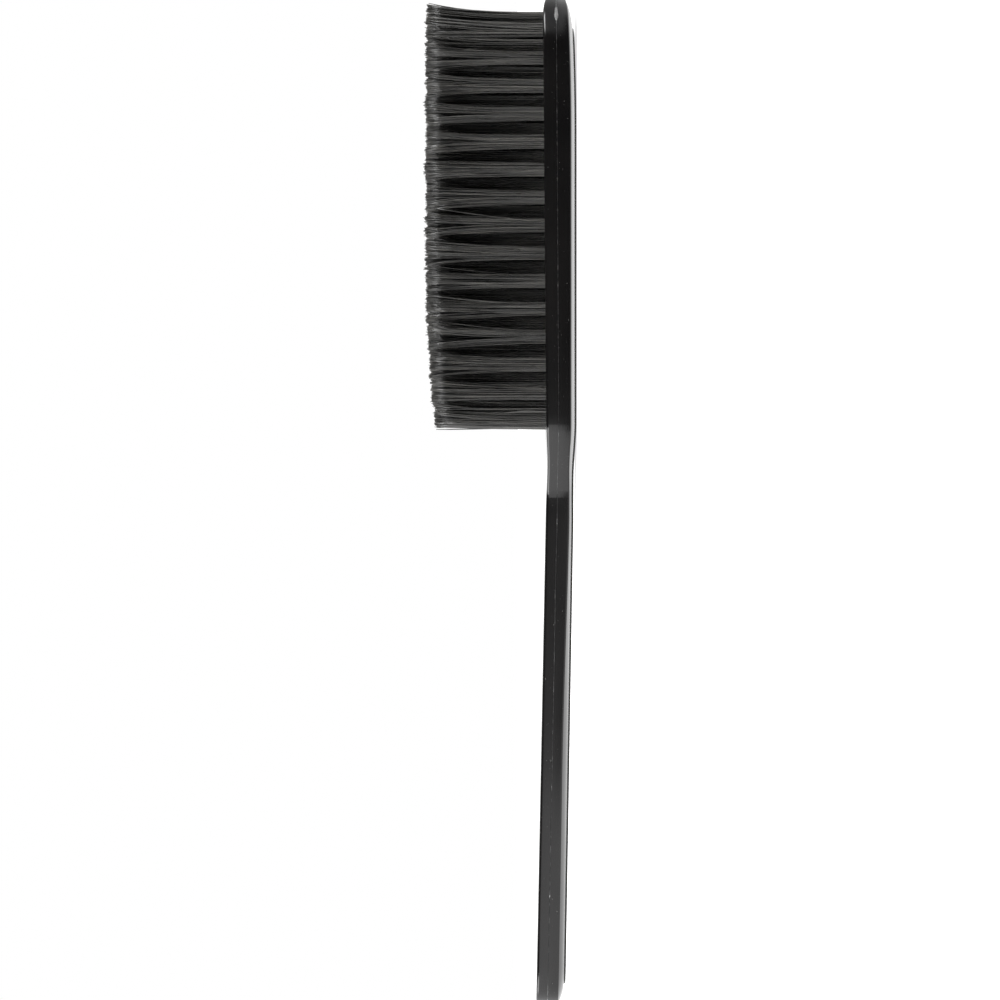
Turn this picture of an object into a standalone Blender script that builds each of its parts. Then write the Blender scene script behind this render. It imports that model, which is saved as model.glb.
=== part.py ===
"""Fade brush: a one-piece moulded body, rows of nylon bristle tufts and their flat wire anchors.

Frame: X across the brush, +Y along it towards the head's end, +Z up, the way the bristles point.
The brush lies on the flat of its back, which is the plane Z = 0, with the origin under its middle.
"""

import math

import bmesh
import bpy
from mathutils import Matrix, Vector
from mathutils.geometry import interpolate_bezier

MM = 0.001

# Driving dimensions, in metres.
HALF_LENGTH = 92.0 * MM
HEAD_HALF_WIDTH = 19.0 * MM
NECK_HALF_WIDTH = 8.1 * MM
GRIP_HALF_WIDTH = 8.3 * MM
GRIP_END_HALF_WIDTH = 7.5 * MM
HEAD_ROUND_Y = 80.0 * MM  # the head's end starts to close in here
GRIP_ROUND_Y = -84.5 * MM  # and the handle's end here
GRIP_WIDEST_Y = -46.0 * MM
NECK_Y = 0.35 * MM

# The shoulders: a small corner, a straight slope down to the neck, and a fillet at its foot.
SHOULDER_Y = 12.7 * MM
CORNER = 0.8 * MM  # cut off each side of the corner
SHOULDER_LENGTH = 15.0 * MM
SHOULDER_SLOPE = math.radians(46.7)
SHOULDER_DOWN = -Vector((math.cos(SHOULDER_SLOPE), math.sin(SHOULDER_SLOPE)))
SHOULDER_TOP = Vector((HEAD_HALF_WIDTH, SHOULDER_Y)) + CORNER * SHOULDER_DOWN
SHOULDER_FOOT = Vector((HEAD_HALF_WIDTH, SHOULDER_Y)) + SHOULDER_LENGTH * SHOULDER_DOWN

# The body's section: a flat front, a small front fillet, two drafted walls that meet at the
# mould's parting line, and a crowned back with a flat panel that stands just proud of it.
FRONT_FILLET = 0.45 * MM
FILLET_STEPS = 4
WALL_DRAFT = 0.1 * MM
CROWN_SHARE = 0.5  # the crown takes this share of the half width, and the panel the rest
CROWN_POWER = 1.7
CROWN_STEPS = 4
PANEL_PROUD = 0.28 * MM
PANEL_DRAFT = 0.005  # of the half width

# Heights along the brush, as (Y, Z) pairs: straight in the first and last stretch, eased between.
FRONT_PROFILE = ((92.0, 6.16), (14.0, 5.55), (6.0, 5.27), (-4.0, 5.54), (-92.0, 7.26))
PARTING_PROFILE = ((92.0, 3.75), (14.0, 3.3), (0.0, 3.45), (-20.0, 3.85), (-92.0, 5.2))
BACK_PROFILE = ((92.0, 0.0), (14.0, 0.0), (4.0, 0.46), (-4.0, 0.46), (-92.0, 1.93))
SWELL_PROFILE = ((92.0, 1.1), (14.0, 1.1), (0.0, 0.8), (-50.0, 1.35), (-92.0, 1.35))
BACK_LIFT_Y = 66.0 * MM  # past here the back rises a little towards the head's end
BACK_LIFT = 0.75 * MM

# The head's end is rounded over in side view, as the start of an ellipse, on the front and the back.
NOSE_Y = 86.6 * MM
NOSE_RUN = 5.9 * MM
NOSE_FRONT_DROP = 2.4 * MM
NOSE_BACK_RISE = 1.6 * MM

# Tuft layout: rows across the head, whose tufts stand in a zigzag so that no line of sight is open.
PITCH = 5.0 * MM
STAGGER = PITCH / 2  # the even columns stand this much nearer the head's end
FIRST_ROW_Y = 14.3 * MM
ROWS = 15
OUTER_COLUMN = 3  # columns run from this one on the -X side to the same on the +X side

# A tuft: folded round its anchor at the bottom of a blind hole, straight at first, then splayed.
HOLE_RADIUS = 1.4 * MM
HOLE_DEPTH = 3.7 * MM
CUT_ABOVE = 2.0 * MM  # how far the hole cutters stand out of the face
TUFT_RADIUS = 1.25 * MM
WAIST_RADIUS = 1.4 * MM  # where the splay starts
TUFT_SIDES = 8
FLAT_TO_FLAT = 1 / math.cos(math.pi / TUFT_SIDES)  # grows a ring until its flats touch a width
SPLAY_START = 9.0 * MM  # above the front face
TIP_HALF_X = 2.8 * MM
TIP_REACH_IN = 2.6 * MM  # the tips reach into their own row's zigzag, and join there
TIP_REACH_OUT = 2.0 * MM  # but stay clear of the next row
TIP_REACH_TOP = 3.0 * MM  # and splay outwards at the head's end
TIP_REACH_NECK = 0.9 * MM
TIP_TOP_Z = 27.1 * MM
TIP_FALL_Y = 43.0 * MM  # below this Y the trim line falls away towards the neck
TIP_FALL = 2.0 * MM
TIP_FALL_SPAN = 29.0 * MM

# Anchors: flat wire across each hole of a row, in a slit that runs from hole to hole.
ANCHOR_THICKNESS = 0.45 * MM
ANCHOR_HEIGHT = 1.6 * MM
ANCHOR_RISE = 0.85 * MM  # the folded filaments pass under it
ANCHOR_STRAIGHT = 1.0 * MM  # each side of a hole's middle, before it slants to the next hole
ANCHOR_END = 1.8 * MM  # how far it reaches past the middle of the last hole
GAP = 0.15 * MM  # clearance between neighbouring pieces

GLOSS_BLACK = (0.012, 0.012, 0.013, 1.0)
NYLON_BLACK = (0.03, 0.03, 0.028, 1.0)
STEEL_GREY = (0.55, 0.54, 0.5, 1.0)


def clear_scene():
    for obj in list(bpy.data.objects):
        bpy.data.objects.remove(obj)


def new_collection(name):
    collection = bpy.data.collections.new(name)
    bpy.context.scene.collection.children.link(collection)
    return collection


def new_material(name, colour, roughness, metallic=0.0):
    material = bpy.data.materials.new(name)
    material.use_nodes = True
    shader = material.node_tree.nodes["Principled BSDF"]
    shader.inputs["Base Color"].default_value = colour
    shader.inputs["Roughness"].default_value = roughness
    shader.inputs["Metallic"].default_value = metallic
    return material


def object_from(bm, name, collection, material=None):
    mesh = bpy.data.meshes.new(name)
    bm.to_mesh(mesh)
    bm.free()
    obj = bpy.data.objects.new(name, mesh)
    collection.objects.link(obj)
    if material:
        mesh.materials.append(material)
    return obj


def make_cutter(bm, name, collection):
    obj = object_from(bm, name, collection)
    obj.hide_render = True
    obj.display_type = "WIRE"
    return obj


def cut(obj, cutter, joins_itself=False):
    modifier = obj.modifiers.new("cut_" + cutter.name, "BOOLEAN")
    modifier.operation = "DIFFERENCE"
    modifier.solver = "EXACT"
    modifier.use_self = joins_itself
    modifier.object = cutter


def height(y, profile):
    """The height at y from (Y, Z) pairs in millimetres that run from the head to the handle."""
    y_mm = y / MM
    last = len(profile) - 2
    for index in range(last + 1):
        (y0, z0), (y1, z1) = profile[index], profile[index + 1]
        if y_mm >= y1 or index == last:
            share = (y0 - y_mm) / (y0 - y1)
            if 0 < index < last:
                share = share * share * (3 - 2 * share)
            return (z0 + (z1 - z0) * share) * MM


def nose(y):
    """0 up to the nose, then a growing share of the ellipse's depth."""
    share = max(0.0, (y - NOSE_Y) / NOSE_RUN)
    return 1 - math.sqrt(1 - share * share)


def front_z(y):
    return height(y, FRONT_PROFILE) - NOSE_FRONT_DROP * nose(y)


def back_z(y):
    lift = max(0.0, (y - BACK_LIFT_Y) / (HALF_LENGTH - BACK_LIFT_Y))
    return height(y, BACK_PROFILE) + BACK_LIFT * lift * lift + NOSE_BACK_RISE * nose(y)


def tip_z(y):
    fall = max(0.0, (TIP_FALL_Y - y) / TIP_FALL_SPAN)
    return TIP_TOP_Z - TIP_FALL * fall * fall


def mm(x, y):
    return Vector((x, y)) * MM


def half_outline():
    """Points of the plan's +X half, from the head's end to the handle's, as (x, y, nx, ny).

    Each anchor gives a point, its handles before and after it, and the steps to the next one."""
    anchors = (
        (Vector((0.0, HALF_LENGTH)), None, mm(14.0, 0.0), 8),
        (Vector((HEAD_HALF_WIDTH, HEAD_ROUND_Y)), mm(0.0, 7.5), mm(0.0, -20.0), 5),
        (Vector((HEAD_HALF_WIDTH, SHOULDER_Y + CORNER)), mm(0.0, 15.0), mm(0.0, -0.5), 3),
        (SHOULDER_TOP, -0.5 * MM * SHOULDER_DOWN, 4.2 * MM * SHOULDER_DOWN, 2),
        (SHOULDER_FOOT, -4.2 * MM * SHOULDER_DOWN, 0.6 * MM * SHOULDER_DOWN, 4),
        (Vector((NECK_HALF_WIDTH, NECK_Y)), mm(0.0, 0.5), mm(0.0, -16.0), 7),
        (Vector((GRIP_HALF_WIDTH, GRIP_WIDEST_Y)), mm(0.0, 18.0), mm(0.0, -14.0), 4),
        (Vector((GRIP_END_HALF_WIDTH, GRIP_ROUND_Y)), mm(0.3, 8.0), mm(-0.15, -4.2), 6),
        (Vector((0.0, -HALF_LENGTH)), mm(4.0, 0.0), None, 0),
    )
    points = []
    for (start, _, out, steps), (end, into, _, _) in zip(anchors, anchors[1:]):
        knots = [knot.to_3d() for knot in (start, start + out, end + into, end)]
        points += [point.to_2d() for point in interpolate_bezier(*knots, steps + 1)[:-1]]
    points.append(Vector((0.0, -HALF_LENGTH)))
    stations = []
    for index, point in enumerate(points):
        before = points[max(index - 1, 0)]
        after = points[min(index + 1, len(points) - 1)]
        along = (after - before).normalized()
        if index == 0:
            along = Vector((1.0, 0.0))
        if index == len(points) - 1:
            along = Vector((-1.0, 0.0))
        stations.append((point.x, point.y, -along.y, along.x))
    return stations


def scaled_in(x, y, share):
    """A point of the outline drawn in by a share of the half width, round the ends too."""
    hub = min(max(y, GRIP_ROUND_Y), HEAD_ROUND_Y)
    return x * (1 - share), hub + (y - hub) * (1 - share)


def section(x, y, nx, ny):
    """The body's section at one station, from the front's middle round to the back's."""

    def inset(depth):
        return max(x - depth * nx, 0.0), y - depth * ny

    points = []
    face_x, face_y = inset(FRONT_FILLET)
    points.append((0.0, face_y, front_z(face_y)))
    points.append((face_x, face_y, front_z(face_y)))
    for step in range(1, FILLET_STEPS):
        angle = step / FILLET_STEPS * math.pi / 2
        fx, fy = inset(WALL_DRAFT + (FRONT_FILLET - WALL_DRAFT) * (1 - math.sin(angle)))
        points.append((fx, fy, front_z(fy) - FRONT_FILLET * (1 - math.cos(angle))))
    fx, fy = inset(WALL_DRAFT)
    points.append((fx, fy, front_z(fy) - FRONT_FILLET))
    points.append((x, y, height(y, PARTING_PROFILE)))
    wall_x, wall_y = inset(WALL_DRAFT)
    crown = height(wall_y, SWELL_PROFILE) - PANEL_PROUD
    for step in range(CROWN_STEPS + 1):
        share = step / CROWN_STEPS
        cx, cy = scaled_in(wall_x, wall_y, CROWN_SHARE * share)
        points.append((cx, cy, back_z(cy) + PANEL_PROUD + crown * (1 - share) ** CROWN_POWER))
    panel_x, panel_y = scaled_in(wall_x, wall_y, CROWN_SHARE + PANEL_DRAFT)
    points.append((panel_x, panel_y, back_z(panel_y)))
    points.append((0.0, panel_y, back_z(panel_y)))
    return points


def make_body(collection, material):
    """The loft's +X half, open at the middle plane, with a Mirror modifier."""
    bm = bmesh.new()
    rings = [[bm.verts.new(p) for p in section(*station)] for station in half_outline()]
    for ring, following in zip(rings, rings[1:]):
        for k in range(len(ring) - 1):
            bm.faces.new((ring[k], ring[k + 1], following[k + 1], following[k]))
    bmesh.ops.remove_doubles(bm, verts=bm.verts, dist=1e-6)
    bmesh.ops.recalc_face_normals(bm, faces=bm.faces)
    top = max(bm.faces, key=lambda face: face.calc_center_median().z)
    if top.normal.z < 0:
        bmesh.ops.reverse_faces(bm, faces=bm.faces)
    body = object_from(bm, "brush_body", collection, material)
    mirror = body.modifiers.new("mirror", "MIRROR")
    mirror.use_axis = (True, False, False)
    mirror.merge_threshold = 1e-5
    return body


def tuft_rows():
    """The (x, y) of each tuft, row by row from the head's end."""
    rows = []
    for index in reversed(range(ROWS)):
        row = []
        for column in range(-OUTER_COLUMN, OUTER_COLUMN + 1):
            stagger = STAGGER if column % 2 == 0 else 0.0
            row.append((column * PITCH, FIRST_ROW_Y + index * PITCH + stagger))
        rows.append(row)
    return rows


def hole_floor(y):
    return front_z(y) - HOLE_DEPTH


def row_y(row):
    """The Y of the row's outer tufts, which sets the height of its anchors."""
    return row[0][1]


def anchor_z(row):
    """Height of the middle of a row's anchors."""
    return hole_floor(row_y(row)) + GAP + ANCHOR_RISE + ANCHOR_HEIGHT / 2


def make_hole_cutter(rows, collection):
    bm = bmesh.new()
    depth = HOLE_DEPTH + CUT_ABOVE
    turn = Matrix.Rotation(math.pi / TUFT_SIDES, 4, "Z")
    for row in rows:
        middle_z = hole_floor(row_y(row)) + depth / 2
        for x, y in row:
            bmesh.ops.create_cone(
                bm,
                cap_ends=True,
                segments=TUFT_SIDES,
                radius1=HOLE_RADIUS,
                radius2=HOLE_RADIUS,
                depth=depth,
                matrix=Matrix.Translation((x, y, middle_z)) @ turn,
            )
    return make_cutter(bm, "tuft_holes", collection)


def loft(bm, rings):
    """Closes a solid through rings of points, which turn anticlockwise as seen from the last one."""
    rings = [[bm.verts.new(point) for point in ring] for ring in rings]
    count = len(rings[0])
    for low, high in zip(rings, rings[1:]):
        for k in range(count):
            after = (k + 1) % count
            bm.faces.new((low[k], low[after], high[after], high[k]))
    bm.faces.new(reversed(rings[0]))
    bm.faces.new(rings[-1])


def add_anchor_strip(bm, row, clearance):
    """A flat strip through all the holes of a row, grown by the clearance on every side."""
    path = []
    for x, y in row:
        path += [(x - ANCHOR_STRAIGHT, y), (x + ANCHOR_STRAIGHT, y)]
    (first_x, first_y), (last_x, last_y) = row[0], row[-1]
    path[0] = (first_x - ANCHOR_END - clearance, first_y)
    path[-1] = (last_x + ANCHOR_END + clearance, last_y)
    half_y = ANCHOR_THICKNESS / 2 + clearance
    half_z = ANCHOR_HEIGHT / 2 + clearance
    low, high = anchor_z(row) - half_z, anchor_z(row) + half_z
    rings = []
    for x, y in path:
        near, far = y - half_y, y + half_y
        rings.append([(x, near, low), (x, far, low), (x, far, high), (x, near, high)])
    loft(bm, rings)


def make_slit_cutter(rows, collection):
    bm = bmesh.new()
    for row in rows:
        add_anchor_strip(bm, row, GAP)
    return make_cutter(bm, "anchor_slits", collection)


def tip_reaches(x, y, rows):
    """How far a tuft's tips reach towards the neck and towards the head's end."""
    outer = row_y(rows[0])
    if round(x / PITCH) % 2:
        towards_neck = TIP_REACH_NECK if y == row_y(rows[-1]) else TIP_REACH_OUT
        return towards_neck, TIP_REACH_IN
    return TIP_REACH_IN, TIP_REACH_TOP if y > outer else TIP_REACH_OUT


def add_tuft(bm, x, y, floor, reaches):
    """One splayed tuft: a loft through rings at its root, where it starts to splay, and its tips."""
    towards_neck, towards_end = reaches
    tip_half_x = TIP_HALF_X * FLAT_TO_FLAT
    tip_half_y = (towards_neck + towards_end) / 2 * FLAT_TO_FLAT
    tip_y = y + (towards_end - towards_neck) / 2
    rings = []
    for z, middle_y, half_x, half_y in (
        (floor + GAP, y, TUFT_RADIUS, TUFT_RADIUS),
        (front_z(y) + SPLAY_START, y, WAIST_RADIUS, WAIST_RADIUS),
        (tip_z(y), tip_y, tip_half_x, tip_half_y),
    ):
        ring = []
        for side in range(TUFT_SIDES):
            angle = (side + 0.5) * 2 * math.pi / TUFT_SIDES
            ring.append((x + half_x * math.cos(angle), middle_y + half_y * math.sin(angle), z))
        rings.append(ring)
    loft(bm, rings)


def make_tuft_row(number, row, rows, material, parts, cutters):
    """The row's tufts join where their splayed tips meet; the cut leaves room for the anchors."""
    bm = bmesh.new()
    for x, y in row:
        add_tuft(bm, x, y, hole_floor(row_y(row)), tip_reaches(x, y, rows))
    tufts = object_from(bm, f"bristle_row_{number:02d}", parts, material)
    slot = bmesh.new()
    add_anchor_strip(slot, row, GAP)
    cut(tufts, make_cutter(slot, f"anchor_slot_{number:02d}", cutters), joins_itself=True)


def make_anchor_row(number, row, material, parts):
    bm = bmesh.new()
    add_anchor_strip(bm, row, 0.0)
    object_from(bm, f"anchor_row_{number:02d}", parts, material)


def main():
    clear_scene()
    parts = new_collection("fade_brush")
    cutters = new_collection("cutters")
    plastic = new_material("moulded_plastic", GLOSS_BLACK, 0.18)
    nylon = new_material("nylon_bristle", NYLON_BLACK, 0.35)
    steel = new_material("anchor_wire", STEEL_GREY, 0.35, 1.0)

    rows = tuft_rows()
    body = make_body(parts, plastic)
    cut(body, make_hole_cutter(rows, cutters))
    cut(body, make_slit_cutter(rows, cutters))
    for number, row in enumerate(rows, start=1):
        make_tuft_row(number, row, rows, nylon, parts, cutters)
        make_anchor_row(number, row, steel, parts)


main()
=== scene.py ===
"""Fade brush: the looks. A smooth moulded body with a flashed parting line, real filaments and anchors.

Metres, in the CAD's frame: X across the brush, +Y towards the head's end, +Z the way the bristles point.
"""

import math

import bmesh
import bpy
import numpy as np
from mathutils import Matrix, Vector, noise
from mathutils.geometry import interpolate_bezier


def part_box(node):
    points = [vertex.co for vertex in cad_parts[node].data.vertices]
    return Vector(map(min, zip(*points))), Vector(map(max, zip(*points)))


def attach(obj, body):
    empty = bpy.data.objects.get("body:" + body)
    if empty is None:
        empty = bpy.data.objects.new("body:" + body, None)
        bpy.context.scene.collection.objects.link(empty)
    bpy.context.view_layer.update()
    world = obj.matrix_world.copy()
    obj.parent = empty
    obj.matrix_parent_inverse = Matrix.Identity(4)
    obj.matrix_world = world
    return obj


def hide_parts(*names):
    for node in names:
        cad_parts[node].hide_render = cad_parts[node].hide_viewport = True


MM = 0.001
SEED = 20

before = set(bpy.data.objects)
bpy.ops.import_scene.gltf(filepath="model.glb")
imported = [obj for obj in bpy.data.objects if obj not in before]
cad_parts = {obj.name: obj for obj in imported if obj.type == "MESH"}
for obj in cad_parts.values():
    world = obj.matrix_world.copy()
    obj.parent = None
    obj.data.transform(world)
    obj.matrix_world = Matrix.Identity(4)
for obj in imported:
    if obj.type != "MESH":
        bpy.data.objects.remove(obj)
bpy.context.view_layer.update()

# ---------------------------------------------------------------- driving dimensions, from the frame

_, BODY_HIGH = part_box("brush_body")
HALF_LENGTH = BODY_HIGH.y
HEAD_HALF_WIDTH = BODY_HIGH.x
ROWS = sum(name.startswith("bristle_row_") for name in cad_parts)
PITCH = 5.0 * MM
STAGGER = PITCH / 2
OUTER_COLUMN = 3
HOLE_DEPTH = 3.7 * MM
HOLE_RADIUS = 1.36 * MM
HOLE_SIDES = 20
CUT_ABOVE = 2.0 * MM  # how far the hole cutters stand out of the face

# The body's outline and section, as the CAD makes them.
NECK_HALF_WIDTH = 8.1 * MM
GRIP_HALF_WIDTH = 8.3 * MM
GRIP_END_HALF_WIDTH = 7.5 * MM
HEAD_ROUND_Y = 80.0 * MM
GRIP_ROUND_Y = -84.5 * MM
GRIP_WIDEST_Y = -46.0 * MM
NECK_Y = 0.35 * MM
SHOULDER_Y = 12.7 * MM
CORNER = 0.8 * MM
SHOULDER_LENGTH = 15.0 * MM
SHOULDER_SLOPE = math.radians(46.7)
SHOULDER_DOWN = -Vector((math.cos(SHOULDER_SLOPE), math.sin(SHOULDER_SLOPE)))
SHOULDER_TOP = Vector((HEAD_HALF_WIDTH, SHOULDER_Y)) + CORNER * SHOULDER_DOWN
SHOULDER_FOOT = Vector((HEAD_HALF_WIDTH, SHOULDER_Y)) + SHOULDER_LENGTH * SHOULDER_DOWN
FRONT_FILLET = 0.45 * MM
FLAT_MARGIN = 0.12 * MM  # keeps a flat's shading flat up to its fillet
WALL_DRAFT = 0.1 * MM
BACK_DRAFT = 0.04 * MM
CROWN_FILLET = 0.16 * MM
CROWN_START = 0.02
CROWN_SHARE = 0.5
CROWN_POWER = 1.7
PANEL_PROUD = 0.28 * MM
PANEL_FILLET = 0.05 * MM
FILLET_STEPS = 7
CROWN_STEPS = 10
SHARP_ANGLE = math.radians(32)
WELD_DISTANCE = 0.001 * MM
SLIVER_LENGTH = 0.0001 * MM

# From the wall's foot round into the crown: depth in from the outline, and rise above the crown's start.
WALL_FOOT = (
    (BACK_DRAFT * 0.95, CROWN_FILLET + FLAT_MARGIN),
    (BACK_DRAFT, CROWN_FILLET),
    (BACK_DRAFT + CROWN_FILLET * 0.15, CROWN_FILLET * 0.45),
)

# The small step from the crown up to the panel: share of the crown's width, and drop from the crown.
PANEL_EDGE = (
    (1.003, PANEL_FILLET * 0.4),
    (1.008, PANEL_PROUD - PANEL_FILLET),
    (1.012, PANEL_PROUD - PANEL_FILLET * 0.25),
    (1.022, PANEL_PROUD),
    (1.05, PANEL_PROUD),
)

# Heights along the brush, as (Y, Z) pairs in millimetres.
FRONT_PROFILE = ((92.0, 6.16), (14.0, 5.55), (6.0, 5.27), (-4.0, 5.54), (-92.0, 7.26))
PARTING_PROFILE = ((92.0, 3.75), (14.0, 3.3), (0.0, 3.45), (-20.0, 3.85), (-92.0, 5.2))
BACK_PROFILE = ((92.0, 0.0), (14.0, 0.0), (4.0, 0.46), (-4.0, 0.46), (-92.0, 1.93))
SWELL_PROFILE = ((92.0, 1.1), (14.0, 1.1), (0.0, 0.8), (-50.0, 1.35), (-92.0, 1.35))
BACK_LIFT_Y = 66.0 * MM
BACK_LIFT = 0.75 * MM
NOSE_Y = 86.6 * MM
NOSE_RUN = 5.9 * MM
NOSE_FRONT_DROP = 2.4 * MM
NOSE_BACK_RISE = 1.6 * MM

# The parting line's flash, and the marks where the mould's gates were broken off. Their pale tone is
# partly whitened plastic and partly a painted highlight.
FLASH_SPACING = 0.3 * MM
FLASH_HALF_HEIGHT = 0.11 * MM
FLASH_PROUD = 0.05 * MM
FLASH_SUNK = 0.08 * MM
FLASH_TURN = (0.7, 0.55)  # shares of its reach and half height, where its section turns
RAGGED_WAVES = ((900.0, 0.6), (2790.0, 0.5))  # waves per metre, and weight
RAGGED_REACH = (0.25, 0.75, 1.5)  # least, mean and swing, as shares of the ridge's reach
RAGGED_HEIGHT = (0.4, 0.8, 0.9)
HANDLE_RAGGED = 0.35  # how ragged the handle's flash is, as a share of the head's
GATE_PLACE = Vector((16.9, 86.8)) * MM
GATE_TAIL = 2.2 * MM  # towards the head's end, and half of it the other way
GATE_HALF_HEIGHT = 0.34 * MM
GATE_PROUD = 0.08 * MM
GATE_HIGHLIGHT_FROM = 0.35  # share of the gate mark's bulge from which its faces get the pale tone, partly whitened plastic and partly a painted highlight

# Filaments: hairpins folded under an anchor, so each one has two legs.
HAIRPINS = 64
FILAMENT_RADIUS = 0.1 * MM
FILAMENT_SIDES = 5
TIP_TAPER = 0.55
LEG_POINTS = 9
ROOT_RADIUS = 1.2 * MM
ROOT_CLEAR = 0.04  # share of the root's radius that the anchor keeps free
ROOT_JITTER = 0.04
FOLD_RISE = 0.45 * MM
FOLD_LIFT = 0.5  # the fold's height above the hole's floor, as a share of its rise
FOLD_SHAPE = ((1, 0.9), (0.75, 0.25), (0, 0.0), (-0.75, 0.25), (-1, 0.9))  # across and up

# Their splay towards the tips. Spreads and wander are shares of a tuft's half width at the tips.
TIP_SPREAD_X = 2.8 * MM
TIP_SPREAD_Y = 2.6 * MM
NECK_SPREAD_Y = 1.6 * MM
HEAD_END_LEAN = 0.6 * MM
NECK_LEAN = 0.45 * MM
SPLAY_POWER = 2.6
SPLAY_POWER_BY_CLUMP = 0.5
SPLAY_POWER_BY_LEG = 0.15
STRAY_POWER = 1.5
CLUMPS = 7
CLUMP_REACH = 0.85
CLUMP_RISE = 0.18 * MM
CLUMPING = 0.8
CLUMPING_SPREAD = (0.5, 1.0)
FREE_SPREAD = 0.95
WANDER = 0.10
STRAY_SHARE = 0.04
STRAY_WANDER = 0.26
BOW = 0.07 * MM
TIP_DROP = 0.16 * MM
TIP_UNEVEN = 0.14 * MM
SHORT_SHARE = 0.12
SHORT_BY = (0.2 * MM, 1.8 * MM)

ANCHOR_HALF_LENGTH = 1.6 * MM
ANCHOR_THICKNESS = 0.45 * MM
ANCHOR_HEIGHT = 1.6 * MM
ANCHOR_EDGE = 0.12 * MM
ANCHOR_EDGE_STEPS = 3


def mm(x, y):
    return Vector((x, y)) * MM


# ---------------------------------------------------------------- materials

# Ramps over a noise's value, as (place, colour or grey) stops.
MOULDED_TONE = ((0.3, (0.0044, 0.0042, 0.0044, 1.0)), (0.7, (0.0070, 0.0064, 0.0064, 1.0)))
FLASH_TONE = ((0.5, 0.012), (0.68, 0.07), (0.75, 0.5))
# The gate marks' tone: pale grey, partly whitened plastic and partly a painted highlight.
GATE_PALE_AND_HIGHLIGHT_TONE = ((0.3, 0.08), (0.7, 0.24))
DUST_SPOTS = ((0.0, 0.0), (0.735, 0.0), (0.76, 1.0), (1.0, 1.0))
DUST_COLOUR = (0.10, 0.10, 0.095, 1.0)
NYLON_TONE = (
    (0.30, (0.010, 0.010, 0.009, 1.0)),
    (0.52, (0.030, 0.029, 0.026, 1.0)),
    (0.72, (0.090, 0.086, 0.077, 1.0)),
)
NYLON_ROUGHNESS = ((0.3, 0.24), (0.7, 0.42))
STEEL_TONE = ((0.3, (0.46, 0.45, 0.42, 1.0)), (0.7, (0.64, 0.63, 0.60, 1.0)))
STEEL_ROUGHNESS = ((0.3, 0.22), (0.7, 0.38))
PAPER_TONE = ((0.3, 0.62), (0.7, 0.64))
WHITE = (1.0, 1.0, 1.0, 1.0)

# Noises, as (waves per metre, detail, stretch along X, Y and Z).
DUST_NOISE = (2600.0, 2.0)
MOULDED_NOISE = (90.0, 3.0)
FLASH_NOISE = (900.0, 3.0)
POLISH_NOISE = (55.0, 5.0)
FLOW_NOISE = (45.0, 1.0)
SCRATCH_NOISE = (900.0, 2.0, (4.0, 0.12, 4.0))
NYLON_TONE_NOISE = (2200.0, 1.0, (1.0, 1.0, 0.02))
NYLON_ROUGHNESS_NOISE = (1500.0, 2.0, (1.0, 1.0, 0.1))
NYLON_GRAIN_NOISE = (9000.0, 2.0, (1.0, 1.0, 0.15))
STEEL_NOISE = (6000.0, 3.0, (0.05, 1.0, 1.0))
PAPER_NOISE = (30.0, 3.0)

# Bumps, as (strength, distance in metres).
FLOW_BUMP = (0.10, 0.0004)
SCRATCH_BUMP = (0.05, 0.00004)
NYLON_BUMP = (0.15, 0.00002)
STEEL_BUMP = (0.2, 0.00001)

POLISH = (0.11, 0.17)  # the moulded plastic's range of roughness
FLASH_DULLNESS = 0.2
TORN_DULLNESS = 0.35
PLASTIC_IOR = 1.49
NYLON_IOR = 1.53
NYLON_SHINE = 0.85
PAPER_ROUGHNESS = 0.9


def new_material(name, **inputs):
    material = bpy.data.materials.new(name)
    material.use_nodes = True
    shader = material.node_tree.nodes["Principled BSDF"]
    for socket, value in inputs.items():
        shader.inputs[socket.replace("_", " ")].default_value = value
    return material, material.node_tree, shader


def add_node(tree, kind, links=None, **settings):
    """A node, with settings on its own properties or sockets, and links from other nodes' sockets."""
    made = tree.nodes.new(kind)
    for key, value in settings.items():
        if hasattr(made, key):
            setattr(made, key, value)
        else:
            made.inputs[key.replace("_", " ")].default_value = value
    for key, source in (links or {}).items():
        tree.links.new(source, made.inputs[key])
    return made


def ramp(tree, source, stops):
    made = add_node(tree, "ShaderNodeValToRGB", {"Fac": source})
    elements = made.color_ramp.elements
    while len(elements) < len(stops):
        elements.new(0.5)
    for element, (place, colour) in zip(elements, stops):
        element.position = place
        element.color = colour if isinstance(colour, tuple) else (colour, colour, colour, 1.0)
    return made.outputs["Color"]


def scaled_position(tree, scale):
    place = add_node(tree, "ShaderNodeTexCoord").outputs["Object"]
    return add_node(tree, "ShaderNodeMapping", {"Vector": place}, Scale=scale).outputs["Vector"]


def noise_value(tree, scale, detail, stretch=(1.0, 1.0, 1.0)):
    vector = scaled_position(tree, stretch)
    made = add_node(tree, "ShaderNodeTexNoise", {"Vector": vector}, Scale=scale, Detail=detail)
    return made.outputs["Fac"]


def add_bump(tree, heights):
    """Chains bumps of (height socket, strength, distance in metres) and returns the last normal."""
    normal = None
    for height_socket, strength, distance in heights:
        links = {"Height": height_socket}
        if normal is not None:
            links["Normal"] = normal
        made = add_node(tree, "ShaderNodeBump", links, Strength=strength, Distance=distance)
        normal = made.outputs["Normal"]
    return normal


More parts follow.
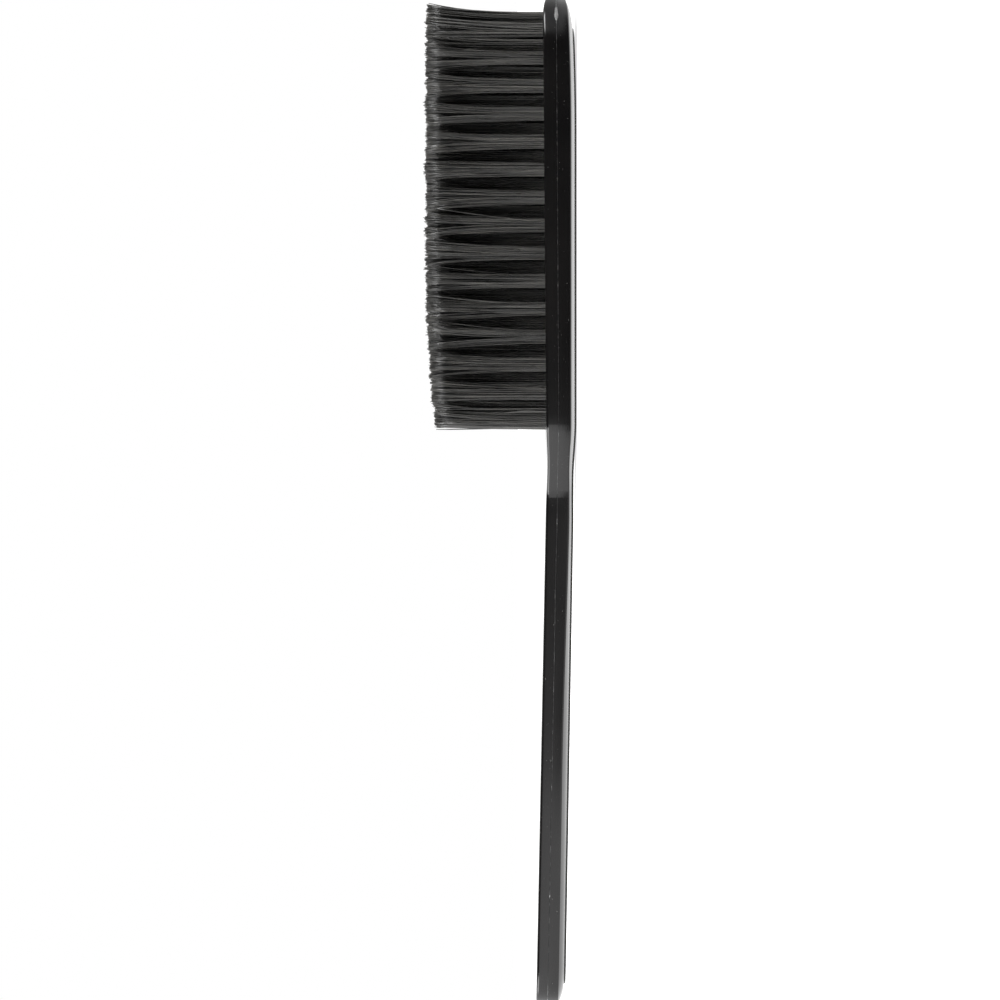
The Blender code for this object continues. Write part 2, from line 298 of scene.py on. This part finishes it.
def black_plastic(name, tone_stops, tone_noise, dullness=0.0):
    """Moulded black: faint flow waves, hairline scratches along the brush and fine dust."""
    material, tree, shader = new_material(name, IOR=PLASTIC_IOR)
    dust = ramp(tree, noise_value(tree, *DUST_NOISE), DUST_SPOTS)
    tone = ramp(tree, noise_value(tree, *tone_noise), tone_stops)
    # The colour mix's sockets: 0 is its factor, 6 and 7 are its colours, and 2 is its result.
    dusted = add_node(tree, "ShaderNodeMix", {0: dust, 6: tone}, data_type="RGBA")
    dusted.inputs[7].default_value = DUST_COLOUR
    tree.links.new(dusted.outputs[2], shader.inputs["Base Color"])
    smooth, rough = POLISH
    stops = ((0.3, smooth + dullness), (0.7, rough + dullness))
    tree.links.new(ramp(tree, noise_value(tree, *POLISH_NOISE), stops), shader.inputs["Roughness"])
    flow = noise_value(tree, *FLOW_NOISE)
    scratches = noise_value(tree, *SCRATCH_NOISE)
    normal = add_bump(tree, ((flow, *FLOW_BUMP), (scratches, *SCRATCH_BUMP)))
    tree.links.new(normal, shader.inputs["Normal"])
    return material


def bristle_nylon():
    """Black nylon filament: glossy along its length, each filament a slightly different tone."""
    material, tree, shader = new_material(
        "bristle_nylon", IOR=NYLON_IOR, Specular_IOR_Level=NYLON_SHINE
    )
    tone = ramp(tree, noise_value(tree, *NYLON_TONE_NOISE), NYLON_TONE)
    tree.links.new(tone, shader.inputs["Base Color"])
    rough = ramp(tree, noise_value(tree, *NYLON_ROUGHNESS_NOISE), NYLON_ROUGHNESS)
    tree.links.new(rough, shader.inputs["Roughness"])
    grain = noise_value(tree, *NYLON_GRAIN_NOISE)
    tree.links.new(add_bump(tree, ((grain, *NYLON_BUMP),)), shader.inputs["Normal"])
    return material


def drawn_steel():
    """Flat drawn wire: bright metal with fine lines along its length."""
    material, tree, shader = new_material("anchor_steel", Metallic=1.0)
    lines = noise_value(tree, *STEEL_NOISE)
    tree.links.new(ramp(tree, lines, STEEL_TONE), shader.inputs["Base Color"])
    tree.links.new(ramp(tree, lines, STEEL_ROUGHNESS), shader.inputs["Roughness"])
    tree.links.new(add_bump(tree, ((lines, *STEEL_BUMP),)), shader.inputs["Normal"])
    return material


# ---------------------------------------------------------------- helpers

def link(mesh, name, material):
    """A new piece that rides on the one body."""
    obj = bpy.data.objects.new(name, mesh)
    bpy.context.scene.collection.objects.link(obj)
    mesh.materials.append(material)
    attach(obj, "root")
    return obj


def height(y, profile):
    """The height at y from (Y, Z) pairs in millimetres that run from the head to the handle."""
    y_mm = y / MM
    last = len(profile) - 2
    for index in range(last + 1):
        (y0, z0), (y1, z1) = profile[index], profile[index + 1]
        if y_mm >= y1 or index == last:
            share = (y0 - y_mm) / (y0 - y1)
            if 0 < index < last:
                share = share * share * (3 - 2 * share)
            return (z0 + (z1 - z0) * share) * MM


def nose(y):
    """0 up to the nose, then a growing share of its ellipse's depth."""
    share = max(0.0, (y - NOSE_Y) / NOSE_RUN)
    return 1 - math.sqrt(1 - share * share)


def front_z(y):
    return height(y, FRONT_PROFILE) - NOSE_FRONT_DROP * nose(y)


def back_z(y):
    lift = max(0.0, (y - BACK_LIFT_Y) / (HALF_LENGTH - BACK_LIFT_Y))
    return height(y, BACK_PROFILE) + BACK_LIFT * lift * lift + NOSE_BACK_RISE * nose(y)


def outline_anchors():
    """The plan's +X half, from the head's end to the handle's: point, handles in and out, steps."""
    return (
        (Vector((0.0, HALF_LENGTH)), None, mm(14.0, 0.0), 34),
        (Vector((HEAD_HALF_WIDTH, HEAD_ROUND_Y)), mm(0.0, 7.5), mm(0.0, -20.0), 24),
        (Vector((HEAD_HALF_WIDTH, SHOULDER_Y + CORNER)), mm(0.0, 15.0), mm(0.0, -0.5), 8),
        (SHOULDER_TOP, -0.5 * MM * SHOULDER_DOWN, 4.2 * MM * SHOULDER_DOWN, 8),
        (SHOULDER_FOOT, -4.2 * MM * SHOULDER_DOWN, 0.6 * MM * SHOULDER_DOWN, 14),
        (Vector((NECK_HALF_WIDTH, NECK_Y)), mm(0.0, 0.5), mm(0.0, -16.0), 24),
        (Vector((GRIP_HALF_WIDTH, GRIP_WIDEST_Y)), mm(0.0, 18.0), mm(0.0, -14.0), 18),
        (Vector((GRIP_END_HALF_WIDTH, GRIP_ROUND_Y)), mm(0.3, 8.0), mm(-0.15, -4.2), 30),
        (Vector((0.0, -HALF_LENGTH)), mm(4.0, 0.0), None, 0),
    )


def half_outline(spacing=None):
    """(x, y, nx, ny) along the +X half, by each stretch's own steps or at an even spacing."""
    anchors = outline_anchors()
    points = []
    for (start, _, out, steps), (end, into, _, _) in zip(anchors, anchors[1:]):
        knots = [knot.to_3d() for knot in (start, start + out, end + into, end)]
        if spacing:
            steps = max(2, round((end - start).length / spacing))
        points += [point.to_2d() for point in interpolate_bezier(*knots, steps + 1)[:-1]]
    points.append(Vector((0.0, -HALF_LENGTH)))
    stations = []
    for index, point in enumerate(points):
        before = points[max(index - 1, 0)]
        after = points[min(index + 1, len(points) - 1)]
        along = (after - before).normalized()
        if index == 0:
            along = Vector((1.0, 0.0))
        if index == len(points) - 1:
            along = Vector((-1.0, 0.0))
        stations.append((point.x, point.y, -along.y, along.x))
    return stations


# ---------------------------------------------------------------- the moulded body

def section(x, y, nx, ny):
    """The body's section at one station, from the front's middle round to the back's."""

    def inset(depth):
        return max(x - depth * nx, 0.0), y - depth * ny

    points = []
    face_x, face_y = inset(FRONT_FILLET + FLAT_MARGIN)
    points.append((0.0, face_y, front_z(face_y)))
    points.append((face_x, face_y, front_z(face_y)))
    for step in range(FILLET_STEPS + 1):
        angle = step / FILLET_STEPS * math.pi / 2
        fx, fy = inset(WALL_DRAFT + (FRONT_FILLET - WALL_DRAFT) * (1 - math.sin(angle)))
        points.append((fx, fy, front_z(fy) - FRONT_FILLET * (1 - math.cos(angle))))
    points.append((x, y, height(y, PARTING_PROFILE)))
    wall_x, wall_y = inset(BACK_DRAFT)
    swell = height(wall_y, SWELL_PROFILE)
    hub = min(max(wall_y, GRIP_ROUND_Y), HEAD_ROUND_Y)

    def crowned(share, drop):
        """A point of the back, drawn in by a share of the crown's width, this far below the crown."""
        keep = 1 - CROWN_SHARE * share
        cx, cy = wall_x * keep, hub + (wall_y - hub) * keep
        rise = (swell - PANEL_PROUD) * max(0.0, 1 - share) ** CROWN_POWER
        return cx, cy, back_z(cy) + PANEL_PROUD + rise - drop

    wall_foot = back_z(wall_y) + swell
    for depth, rise in WALL_FOOT:
        points.append((*inset(depth), wall_foot + rise))
    for step in range(CROWN_STEPS + 1):
        points.append(crowned(CROWN_START + (1 - CROWN_START) * step / CROWN_STEPS, 0.0))
    for share, drop in PANEL_EDGE:
        points.append(crowned(share, drop))
    _, flat_y, flat_z = points[-1]
    points.append((0.0, flat_y, flat_z))
    return points


def tuft_rows():
    """The (x, y) of each tuft, row by row from the head's end, from where the CAD's anchors lie."""
    rows = []
    for number in range(1, ROWS + 1):
        low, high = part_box(f"anchor_row_{number:02d}")
        outer_y = (low.y + high.y - STAGGER) / 2
        row = []
        for column in range(-OUTER_COLUMN, OUTER_COLUMN + 1):
            stagger = STAGGER if column % 2 == 0 else 0.0
            row.append((column * PITCH, outer_y + stagger))
        rows.append(row)
    return rows


def hole_cutter(rows):
    bm = bmesh.new()
    depth = HOLE_DEPTH + CUT_ABOVE
    for row in rows:
        floor = front_z(row[0][1]) - HOLE_DEPTH
        for x, y in row:
            place = Matrix.Translation((x, y, floor + depth / 2))
            bmesh.ops.create_cone(
                bm,
                cap_ends=True,
                segments=HOLE_SIDES,
                radius1=HOLE_RADIUS,
                radius2=HOLE_RADIUS,
                depth=depth,
                matrix=place,
            )
    mesh = bpy.data.meshes.new("hole_cutter")
    bm.to_mesh(mesh)
    bm.free()
    cutter = bpy.data.objects.new("hole_cutter", mesh)
    bpy.context.scene.collection.objects.link(cutter)
    return cutter


def make_body(rows, material):
    """Half of the body as a loft, mirrored and drilled."""
    bm = bmesh.new()
    rings = [[bm.verts.new(p) for p in section(*station)] for station in half_outline()]
    for ring, following in zip(rings, rings[1:]):
        for k in range(len(ring) - 1):
            bm.faces.new((ring[k], ring[k + 1], following[k + 1], following[k]))
    bmesh.ops.remove_doubles(bm, verts=bm.verts, dist=WELD_DISTANCE)
    bmesh.ops.dissolve_degenerate(bm, edges=bm.edges, dist=SLIVER_LENGTH)
    bmesh.ops.recalc_face_normals(bm, faces=bm.faces)
    top = max(bm.faces, key=lambda face: face.calc_center_median().z)
    if top.normal.z < 0:
        bmesh.ops.reverse_faces(bm, faces=bm.faces)
    mesh = bpy.data.meshes.new("moulded_body")
    bm.to_mesh(mesh)
    bm.free()
    body = link(mesh, "moulded_body", material)
    mirror = body.modifiers.new("mirror", "MIRROR")
    mirror.merge_threshold = WELD_DISTANCE
    cutter = hole_cutter(rows)
    cut = body.modifiers.new("holes", "BOOLEAN")
    cut.operation = "DIFFERENCE"
    cut.solver = "EXACT"
    cut.object = cutter
    graph = bpy.context.evaluated_depsgraph_get()
    finished = bpy.data.meshes.new_from_object(body.evaluated_get(graph))
    body.modifiers.clear()
    body.data = finished
    bpy.data.objects.remove(cutter)
    finished.shade_smooth()
    finished.set_sharp_from_angle(angle=SHARP_ANGLE)
    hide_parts("brush_body")


def ragged_share(ragged, limits):
    least, mean, swing = limits
    return max(least, mean + ragged * swing)


def make_flash(material, gate_highlight_material):
    """The thin ragged ridge that the mould leaves along its parting line, with two broken-off gate
    marks. Their pale tone is partly whitened plastic and partly a painted highlight.
    """
    half = half_outline(FLASH_SPACING)
    stations = half + [(-x, y, -nx, ny) for x, y, nx, ny in reversed(half[1:-1])]
    turn_out, turn_up = FLASH_TURN
    bm = bmesh.new()
    rings = []
    gate_highlight_faces = []
    for x, y, nx, ny in stations:
        z = height(y, PARTING_PROFILE)
        place = Vector((x, y, z))
        ragged = sum(weight * noise.noise(place * scale) for scale, weight in RAGGED_WAVES)
        if y <= SHOULDER_Y:
            ragged *= HANDLE_RAGGED
        reach = GATE_TAIL if y > GATE_PLACE.y else GATE_TAIL / 2
        gate = math.exp(-((Vector((abs(x), y)) - GATE_PLACE).length / reach) ** 2)
        proud = FLASH_PROUD * ragged_share(ragged, RAGGED_REACH) + GATE_PROUD * gate
        tall = FLASH_HALF_HEIGHT * ragged_share(ragged, RAGGED_HEIGHT) + GATE_HALF_HEIGHT * gate
        ring = []
        for out, up in (
            (-FLASH_SUNK, 1.0),
            (proud * turn_out, turn_up),
            (proud, 0.0),
            (proud * turn_out, -turn_up),
            (-FLASH_SUNK, -1.0),
        ):
            ring.append(bm.verts.new((x + nx * out, y + ny * out, z + up * tall)))
        rings.append(ring)
        # The gate marks' faces get the pale tone that is partly a painted highlight.
        gate_highlight_faces.append(gate > GATE_HIGHLIGHT_FROM)
    for index, ring in enumerate(rings):
        following = rings[(index + 1) % len(rings)]
        for k in range(len(ring)):
            after = (k + 1) % len(ring)
            face = bm.faces.new((ring[k], ring[after], following[after], following[k]))
            face.material_index = int(gate_highlight_faces[index])
    bmesh.ops.recalc_face_normals(bm, faces=bm.faces)
    mesh = bpy.data.meshes.new("parting_line_flash")
    bm.to_mesh(mesh)
    bm.free()
    mesh.shade_smooth()
    link(mesh, "parting_line_flash", material)
    mesh.materials.append(gate_highlight_material)


# ---------------------------------------------------------------- filaments

def tuft_lines(rng, x, y, row_floor, tip_height, lean, spread_y):
    """Centrelines of a tuft's hairpins, as an array (hairpins, points, 3)."""
    face = front_z(y)
    count = HAIRPINS
    # Roots fill a disc, as sunflower seeds do, split in two halves by the anchor.
    radius = np.sqrt((np.arange(count) + 0.5) / count)
    angle = np.arange(count) * math.pi * (3 - math.sqrt(5)) + rng.uniform(0, math.tau)
    root_x = radius * np.cos(angle)
    root_y = np.abs(radius * np.sin(angle)) * (1 - ROOT_CLEAR) + ROOT_CLEAR
    clump = rng.uniform(-CLUMP_REACH, CLUMP_REACH, (CLUMPS, 2))
    clump_rise = rng.normal(0, CLUMP_RISE, CLUMPS)
    clump_power = rng.normal(SPLAY_POWER, SPLAY_POWER_BY_CLUMP, CLUMPS)
    share = np.linspace(0, 1, LEG_POINTS)
    arch = np.sin(share * math.pi)[None, :]
    legs = []
    for side in (1.0, -1.0):
        unit = np.stack([root_x + rng.normal(0, ROOT_JITTER, count), side * root_y], axis=1)
        stray = rng.random(count) < STRAY_SHARE
        wander = rng.normal(0, 1, (count, 2)) * np.where(stray, STRAY_WANDER, WANDER)[:, None]
        free = unit * FREE_SPREAD + wander
        nearest = np.argmin(((free[:, None] - clump[None]) ** 2).sum(axis=2), axis=1)
        gather = np.where(stray, 0.0, CLUMPING * rng.uniform(*CLUMPING_SPREAD, count))[:, None]
        tip = free + (clump[nearest] - free) * gather
        tip_xy = np.array([x, y + lean]) + tip * np.array([TIP_SPREAD_X, spread_y])
        tip_z = tip_height + clump_rise[nearest] + rng.normal(-TIP_DROP, TIP_UNEVEN, count)
        tip_z -= np.where(rng.random(count) < SHORT_SHARE, rng.uniform(*SHORT_BY, count), 0.0)
        bow = rng.normal(0, BOW, (count, 2))
        clumped_power = clump_power[nearest] + rng.normal(0, SPLAY_POWER_BY_LEG, count)
        splay = share[None, :] ** np.where(stray, STRAY_POWER, clumped_power)[:, None]
        base = np.array([x, y]) + ROOT_RADIUS * unit
        leg = np.empty((count, LEG_POINTS, 3))
        for axis in (0, 1):
            travel = (tip_xy[:, axis] - base[:, axis])[:, None]
            leg[:, :, axis] = base[:, axis, None] + travel * splay + bow[:, axis, None] * arch
        leg[:, :, 2] = face + (tip_z - face)[:, None] * share[None, :]
        legs.append(leg)
    fold = np.empty((count, len(FOLD_SHAPE), 3))
    for k, (across, rise) in enumerate(FOLD_SHAPE):
        fold[:, k, 0] = x + ROOT_RADIUS * root_x
        fold[:, k, 1] = y + ROOT_RADIUS * root_y * across
        fold[:, k, 2] = row_floor + FOLD_RISE * (FOLD_LIFT + rise)
    return np.concatenate([legs[0][:, ::-1], fold, legs[1]], axis=1)


def tubes(lines, radius, sides):
    """Vertices and faces of a closed tube along every line of an array (lines, points, 3)."""
    count, points, _ = lines.shape
    along = np.gradient(lines, axis=1)
    along /= np.linalg.norm(along, axis=2, keepdims=True)
    across = np.array([1.0, 0.0, 0.0]) - along * along[:, :, :1]
    across /= np.linalg.norm(across, axis=2, keepdims=True)
    other = np.cross(along, across)
    turn = np.arange(sides) * 2 * math.pi / sides
    thickness = np.full(points, radius)
    thickness[0] = thickness[-1] = radius * TIP_TAPER
    ring = (
        across[:, :, None, :] * np.cos(turn)[None, None, :, None]
        + other[:, :, None, :] * np.sin(turn)[None, None, :, None]
    )
    vertices = lines[:, :, None, :] + ring * thickness[None, :, None, None]
    corner = np.arange(points * sides).reshape(points, sides)
    after = np.roll(corner, -1, axis=1)
    quads = np.stack([corner[:-1], after[:-1], after[1:], corner[1:]], axis=-1).reshape(-1, 4)
    start = (np.arange(count) * points * sides)[:, None, None]
    faces = (quads[None] + start).reshape(-1, 4).tolist()
    for first in start[:, 0, 0].tolist():
        faces.append(list(range(first + sides - 1, first - 1, -1)))
        last = first + (points - 1) * sides
        faces.append(list(range(last, last + sides)))
    return vertices.reshape(-1, 3), faces


def make_filaments(number, row, rng, material):
    """A row's tufts. The first row leans out over the head's end, and the last one hugs the neck."""
    low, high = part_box(f"bristle_row_{number:02d}")
    lines = []
    for x, y in row:
        lean, spread_y = 0.0, TIP_SPREAD_Y
        if number == 1:
            lean = HEAD_END_LEAN
        if number == ROWS and y == row[0][1]:
            lean, spread_y = NECK_LEAN, NECK_SPREAD_Y
        lines.append(tuft_lines(rng, x, y, low.z, high.z, lean, spread_y))
    vertices, faces = tubes(np.concatenate(lines), FILAMENT_RADIUS, FILAMENT_SIDES)
    mesh = bpy.data.meshes.new(f"filaments_row_{number:02d}")
    mesh.from_pydata(vertices.tolist(), [], faces)
    mesh.shade_smooth()
    obj = link(mesh, mesh.name, material)
    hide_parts(f"bristle_row_{number:02d}")


def make_anchors(number, row, material):
    """One short flat wire across each hole, its long edges rounded, biting into the hole's walls."""
    low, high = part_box(f"anchor_row_{number:02d}")
    middle_z = (low.z + high.z) / 2
    bm = bmesh.new()
    for x, y in row:
        size = (2 * ANCHOR_HALF_LENGTH, ANCHOR_THICKNESS, ANCHOR_HEIGHT, 1)
        place = Matrix.Translation((x, y, middle_z))
        bmesh.ops.create_cube(bm, size=1, matrix=place @ Matrix.Diagonal(size))
    bmesh.ops.bevel(bm, geom=bm.edges[:], offset=ANCHOR_EDGE, segments=ANCHOR_EDGE_STEPS, affect="EDGES")
    mesh = bpy.data.meshes.new(f"anchor_wires_row_{number:02d}")
    bm.to_mesh(mesh)
    bm.free()
    mesh.shade_smooth()
    obj = link(mesh, mesh.name, material)
    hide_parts(f"anchor_row_{number:02d}")


# ---------------------------------------------------------------- camera, light and floor

CAMERA_DISTANCE = 900 * MM
CAMERA_HEIGHT = 13.8 * MM
CAMERA_LENS = 181.4
CAMERA_CLIP = (0.05, 20.0)
FLOOR_HALF_SIZE = 3.0

# Strengths of the light from beyond the neck and from beyond the head's end, level and from higher up.
NECK_SIDE_LIGHT = 1.7
HEAD_SIDE_LIGHT = 0.45
NECK_HIGH_LIGHT = 9.0
HEAD_HIGH_LIGHT = 14.0
SLOT_LIGHT = 0.02
SLOT_FOOT_LIGHT = 0.3

# The tent, as (from, to) spans of soft steps along the components of a direction.
TENT_SIDES_Y = (-0.3, 0.6)
SLOT_X = (-0.5, -0.2)
SLOT_NECK_Y = (-0.6, -0.4)
SLOT_HEAD_Y = (0.75, 0.5)
SLOT_FOOT_Y = (0.04, -0.01)
STRIP_Y = (-0.035, -0.08)
LOW_Z = (0.35, 0.12)
HIGH_X = (-0.2, 0.1)
HIGH_ASIDE = (0.4, 0.7)
HIGH_BOTTOM_Z = (0.12, 0.35)
HIGH_TOP_Z = (0.7, 0.5)
HIGH_SIDES_Y = (-0.3, 0.3)

# The floor's light, and spans in metres.
HANDLE_SIDE_GLOW = 1.0
HEAD_SIDE_GLOW = 0.66
HANDLE_SIDE_BOUNCE = 1.5
HEAD_SIDE_BOUNCE = 1.05
GLOW_SIDES_Y = (-0.01, 0.012)
BOUNCE_SIDES_Y = (-0.03, 0.01)
FLOOR_FOOT_Y = (0.035, -0.01)
FLOOR_SLOT_X = (0.018, 0.024)
FLOOR_SLOT_NECK_Y = (-0.065, -0.035)
FLOOR_SLOT_NECK_SLANT = 0.1
FLOOR_SLOT_HEAD_Y = (0.16, 0.09)
FLOOR_SLOT_HEAD_SLANT = 0.45


def make_camera():
    camera = bpy.data.objects.new("camera", bpy.data.cameras.new("camera"))
    bpy.context.scene.collection.objects.link(camera)
    camera.data.lens = CAMERA_LENS
    camera.data.clip_start, camera.data.clip_end = CAMERA_CLIP
    camera.location = (HEAD_HALF_WIDTH + CAMERA_DISTANCE, 0.0, CAMERA_HEIGHT)
    # It looks along -X, turned so that the head's end is up and the bristles point left.
    camera.rotation_euler = Matrix(((0, 0, 1), (0, 1, 0), (-1, 0, 0))).to_euler()
    bpy.context.scene.camera = camera


def maths(tree, operation, first, second=0.0):
    made = add_node(tree, "ShaderNodeMath", operation=operation)
    for socket, value in zip(made.inputs, (first, second)):
        if isinstance(value, float):
            socket.default_value = value
        else:
            tree.links.new(value, socket)
    return made.outputs["Value"]


def soft_step(tree, value, span):
    """0 up to where the span starts and 1 from its end on. A falling span works the other way."""
    made = add_node(tree, "ShaderNodeMapRange", {"Value": value})
    made.interpolation_type = "SMOOTHSTEP"
    made.inputs["From Min"].default_value, made.inputs["From Max"].default_value = span
    return made.outputs["Result"]


def product(tree, *values):
    result = values[0]
    for value in values[1:]:
        result = maths(tree, "MULTIPLY", result, value)
    return result


def blend(tree, share, at_zero, at_one):
    """A value that goes from one value to another as the share goes from 0 to 1."""
    rest = maths(tree, "SUBTRACT", 1.0, share)
    return maths(tree, "ADD", product(tree, rest, at_zero), product(tree, share, at_one))


def make_world():
    """Plain white to the camera, and a white tent to all other rays.

    The tent has a dark slot on the +X side. The slot's low part is bright towards the handle, and there
    are two brighter areas higher up, beyond the neck and beyond the head's end."""
    world = bpy.data.worlds.new("studio")
    bpy.context.scene.world = world
    world.use_nodes = True
    tree = world.node_tree
    direction = add_node(tree, "ShaderNodeTexCoord").outputs["Generated"]
    x, y, z = add_node(tree, "ShaderNodeSeparateXYZ", {"Vector": direction}).outputs
    low = soft_step(tree, z, LOW_Z)
    strip = product(tree, low, soft_step(tree, y, STRIP_Y))
    slot = product(
        tree,
        soft_step(tree, x, SLOT_X),
        soft_step(tree, y, SLOT_NECK_Y),
        soft_step(tree, y, SLOT_HEAD_Y),
        maths(tree, "SUBTRACT", 1.0, strip),
    )
    high = product(
        tree,
        soft_step(tree, x, HIGH_X),
        soft_step(tree, maths(tree, "ABSOLUTE", y), HIGH_ASIDE),
        soft_step(tree, z, HIGH_BOTTOM_Z),
        soft_step(tree, z, HIGH_TOP_Z),
    )
    level_light = blend(tree, soft_step(tree, y, TENT_SIDES_Y), NECK_SIDE_LIGHT, HEAD_SIDE_LIGHT)
    high_light = blend(tree, soft_step(tree, y, HIGH_SIDES_Y), NECK_HIGH_LIGHT, HEAD_HIGH_LIGHT)
    bright = blend(tree, high, level_light, high_light)
    foot = product(tree, low, soft_step(tree, y, SLOT_FOOT_Y))
    dark = blend(tree, foot, SLOT_LIGHT, SLOT_FOOT_LIGHT)
    strength = blend(tree, slot, bright, dark)
    seen = add_node(tree, "ShaderNodeLightPath").outputs["Is Camera Ray"]
    background = tree.nodes["Background"]
    tree.links.new(blend(tree, seen, strength, 1.0), background.inputs["Strength"])
    background.inputs["Color"].default_value = WHITE


def floor_material():
    """Pale glowing paper to the camera, and a plain emission to all other rays.

    The emission is bright under and behind the brush, and dark in front of it, below the slot."""
    material, tree, shader = new_material("floor", Roughness=PAPER_ROUGHNESS)
    place = add_node(tree, "ShaderNodeTexCoord").outputs["Object"]
    x, y, _ = add_node(tree, "ShaderNodeSeparateXYZ", {"Vector": place}).outputs
    tree.links.new(ramp(tree, noise_value(tree, *PAPER_NOISE), PAPER_TONE), shader.inputs["Base Color"])
    shader.inputs["Emission Color"].default_value = WHITE
    glow = blend(tree, soft_step(tree, y, GLOW_SIDES_Y), HANDLE_SIDE_GLOW, HEAD_SIDE_GLOW)
    tree.links.new(glow, shader.inputs["Emission Strength"])
    neck_slant = maths(tree, "ADD", y, product(tree, x, FLOOR_SLOT_NECK_SLANT))
    head_slant = maths(tree, "SUBTRACT", y, product(tree, x, FLOOR_SLOT_HEAD_SLANT))
    slot = product(
        tree,
        soft_step(tree, x, FLOOR_SLOT_X),
        soft_step(tree, neck_slant, FLOOR_SLOT_NECK_Y),
        soft_step(tree, head_slant, FLOOR_SLOT_HEAD_Y),
    )
    bright = blend(tree, soft_step(tree, y, BOUNCE_SIDES_Y), HANDLE_SIDE_BOUNCE, HEAD_SIDE_BOUNCE)
    dark = blend(tree, soft_step(tree, y, FLOOR_FOOT_Y), SLOT_LIGHT, SLOT_FOOT_LIGHT)
    bounce = add_node(tree, "ShaderNodeEmission", {"Strength": blend(tree, slot, bright, dark)})
    seen = add_node(tree, "ShaderNodeLightPath").outputs["Is Camera Ray"]
    mixed = add_node(tree, "ShaderNodeMixShader")
    for socket, source in zip(mixed.inputs, (seen, bounce.outputs[0], shader.outputs[0])):
        tree.links.new(source, socket)
    tree.links.new(mixed.outputs[0], tree.nodes["Material Output"].inputs["Surface"])
    return material


def make_floor():
    """A wide pale sweep that the brush lies on."""
    bm = bmesh.new()
    bmesh.ops.create_grid(bm, x_segments=4, y_segments=4, size=FLOOR_HALF_SIZE)
    mesh = bpy.data.meshes.new("floor")
    bm.to_mesh(mesh)
    bm.free()
    floor = bpy.data.objects.new("floor", mesh)
    bpy.context.scene.collection.objects.link(floor)
    mesh.materials.append(floor_material())


def main():
    make_camera()
    make_world()
    make_floor()
    bpy.context.scene.view_settings.view_transform = "Standard"

    plastic = black_plastic("gloss_black_plastic", MOULDED_TONE, MOULDED_NOISE)
    flash_plastic = black_plastic("flash_plastic", FLASH_TONE, FLASH_NOISE, FLASH_DULLNESS)
    # The gate marks: pale grey, partly whitened plastic and partly a painted highlight.
    whitened_gate_highlight = black_plastic("whitened_gate_highlight", GATE_PALE_AND_HIGHLIGHT_TONE, FLASH_NOISE, TORN_DULLNESS)
    nylon = bristle_nylon()
    steel = drawn_steel()

    rows = tuft_rows()
    make_body(rows, plastic)
    make_flash(flash_plastic, whitened_gate_highlight)
    rng = np.random.default_rng(SEED)
    for number, row in enumerate(rows, start=1):
        make_filaments(number, row, rng, nylon)
        make_anchors(number, row, steel)


main()
